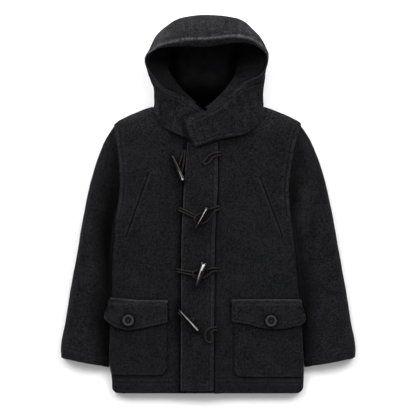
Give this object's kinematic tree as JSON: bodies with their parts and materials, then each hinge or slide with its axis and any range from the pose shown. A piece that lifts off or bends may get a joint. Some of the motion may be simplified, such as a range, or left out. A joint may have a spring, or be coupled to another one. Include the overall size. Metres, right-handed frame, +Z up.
{
  "type": "hooded duffle coat",
  "caption": "Hooded wool duffle coat laid flat with its sleeves down, closed by toggles in cord loops, with slit chest pockets and flapped patch pockets.",
  "frame": {"origin": "under the middle of the laid-out coat, on the surface that it lies on", "axes": "+Z up from the floor, out of the coat's front; +Y from the hem to the hood; +X to the wearer's left"},
  "size_m": [0.646, 0.8318, 0.0758],
  "materials": {
    "charcoal_wool": "heathered charcoal melton wool, matt and slightly felted",
    "black_lining": "smooth black woven lining",
    "black_horn": "polished black horn look",
    "brown_cord": "dark brown twisted cord"
  },
  "bodies": {
    "root": {"back": "charcoal_wool", "button_left": "black_horn", "button_right": "black_horn", "chest_welt_left": "charcoal_wool", "chest_welt_right": "charcoal_wool", "front_band": "charcoal_wool", "front_left": "charcoal_wool", "front_right": "charcoal_wool", "hood_center": "charcoal_wool", "hood_facing": "charcoal_wool", "hood_lining": "black_lining", "hood_side_left": "charcoal_wool", "hood_side_right": "charcoal_wool", "loop_1": "brown_cord", "loop_2": "brown_cord", "loop_3": "brown_cord", "loop_4": "brown_cord", "pocket_bag_left": "charcoal_wool", "pocket_bag_right": "charcoal_wool", "pocket_flap_left": "charcoal_wool", "pocket_flap_right": "charcoal_wool", "sleeve_under_left": "charcoal_wool", "sleeve_under_right": "charcoal_wool", "sleeve_upper_left": "charcoal_wool", "sleeve_upper_right": "charcoal_wool", "tie_1": "brown_cord", "tie_2": "brown_cord", "tie_3": "brown_cord", "tie_4": "brown_cord", "toggle_1": "black_horn", "toggle_2": "black_horn", "toggle_3": "black_horn", "toggle_4": "black_horn"}
  },
  "joints": []
}
